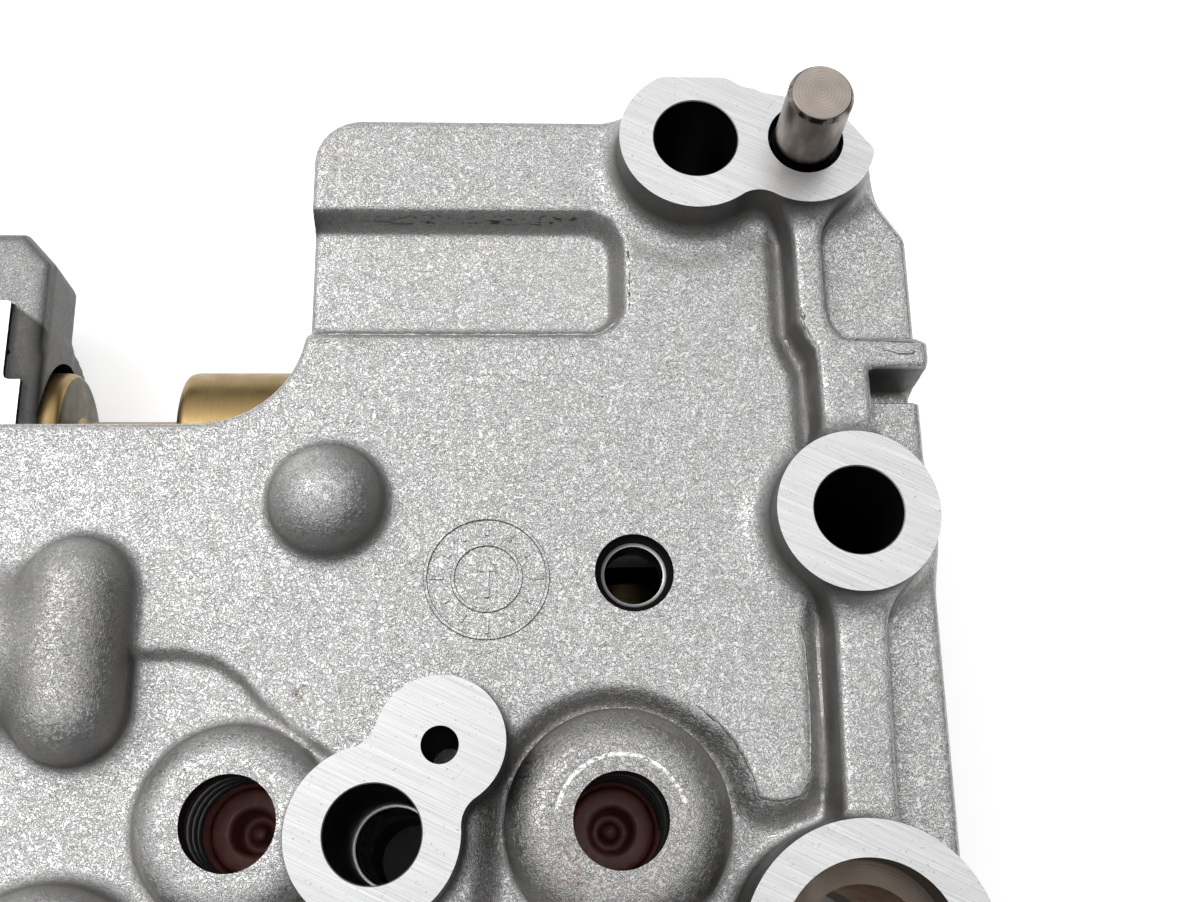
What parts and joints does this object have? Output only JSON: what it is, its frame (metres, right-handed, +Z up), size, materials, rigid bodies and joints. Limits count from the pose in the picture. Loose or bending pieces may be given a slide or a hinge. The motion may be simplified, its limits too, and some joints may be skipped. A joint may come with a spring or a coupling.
{
  "type": "transmission valve body",
  "caption": "Transmission valve body: a cast channel plate on a cast valve housing, with machined bosses, dowel, selector valve in an open window, sprung regulator spools and damper pistons.",
  "frame": {"origin": "middle of the flat underside of the lower housing", "axes": "+Z up from the underside to the machined boss tops, +X towards the corner with the pin, +Y towards the selector window"},
  "size_m": [0.201, 0.1264, 0.0507],
  "materials": {
    "cast_alloy": "die cast with a fine grain, boss tops machined bright",
    "plate_steel": "rolled sheet, dull",
    "bronze": "turned and ground, satin",
    "pin_steel": "turned, with fine rings on its end",
    "plug_alloy": "turned, satin",
    "sleeve_steel": "rolled and ground",
    "port_bronze": "turned, darkened by oil",
    "clip_steel": "stamped, dull",
    "bolt_steel": "zinc grey",
    "spring_steel": "drawn wire, dark",
    "piston_plastic": "moulded, dark red-brown"
  },
  "bodies": {
    "housing": {"upper_housing": "cast_alloy", "separator_plate": "plate_steel", "lower_housing": "cast_alloy", "dowel_pin": "pin_steel", "selector_plug": "plug_alloy", "locating_sleeve": "sleeve_steel", "port_bush": "port_bronze", "spool_plugs": "plug_alloy", "plug_clips": "clip_steel", "joining_bolts": "bolt_steel", "regulator_spring_1": "spring_steel", "regulator_spring_2": "spring_steel", "regulator_spring_3": "spring_steel", "regulator_spring_4": "spring_steel", "regulator_spring_5": "spring_steel", "damper_spring_1": "spring_steel", "damper_spring_2": "spring_steel", "damper_spring_3": "spring_steel"},
    "selector_valve": {"selector_valve": "bronze"},
    "regulator_1": {"regulator_spool_1": "bronze"},
    "regulator_2": {"regulator_spool_2": "bronze"},
    "regulator_3": {"regulator_spool_3": "bronze"},
    "regulator_4": {"regulator_spool_4": "bronze"},
    "regulator_5": {"regulator_spool_5": "bronze"},
    "damper_1": {"damper_piston_1": "piston_plastic"},
    "damper_2": {"damper_piston_2": "piston_plastic"},
    "damper_3": {"damper_piston_3": "piston_plastic"}
  },
  "joints": [
    {"name": "selector_slide", "type": "slide", "parent": "housing", "child": "selector_valve", "axis": [1, 0, 0], "range_m": [-0.002, 0.01]},
    {"name": "regulator_slide_1", "type": "slide", "parent": "housing", "child": "regulator_1", "axis": [0, 1, 0], "range_m": [-0.005, 0], "stiffness_N_per_m": 800, "springref_m": 0.01, "deforming": ["regulator_spring_1"]},
    {"name": "regulator_slide_2", "type": "slide", "parent": "housing", "child": "regulator_2", "axis": [0, 1, 0], "range_m": [-0.005, 0], "stiffness_N_per_m": 800, "springref_m": 0.01, "deforming": ["regulator_spring_2"]},
    {"name": "regulator_slide_3", "type": "slide", "parent": "housing", "child": "regulator_3", "axis": [0, 1, 0], "range_m": [-0.005, 0], "stiffness_N_per_m": 800, "springref_m": 0.01, "deforming": ["regulator_spring_3"]},
    {"name": "regulator_slide_4", "type": "slide", "parent": "housing", "child": "regulator_4", "axis": [0, 1, 0], "range_m": [-0.005, 0], "stiffness_N_per_m": 800, "springref_m": 0.01, "deforming": ["regulator_spring_4"]},
    {"name": "regulator_slide_5", "type": "slide", "parent": "housing", "child": "regulator_5", "axis": [0, 1, 0], "range_m": [-0.005, 0], "stiffness_N_per_m": 800, "springref_m": 0.01, "deforming": ["regulator_spring_5"]},
    {"name": "damper_slide_1", "type": "slide", "parent": "housing", "child": "damper_1", "axis": [0, 0, 1], "range_m": [0, 0.004], "stiffness_N_per_m": 500, "springref_m": -0.005, "deforming": ["damper_spring_1"]},
    {"name": "damper_slide_2", "type": "slide", "parent": "housing", "child": "damper_2", "axis": [0, 0, 1], "range_m": [0, 0.004], "stiffness_N_per_m": 500, "springref_m": -0.005, "deforming": ["damper_spring_2"]},
    {"name": "damper_slide_3", "type": "slide", "parent": "housing", "child": "damper_3", "axis": [0, 0, 1], "range_m": [0, 0.004], "stiffness_N_per_m": 500, "springref_m": -0.005, "deforming": ["damper_spring_3"]}
  ]
}
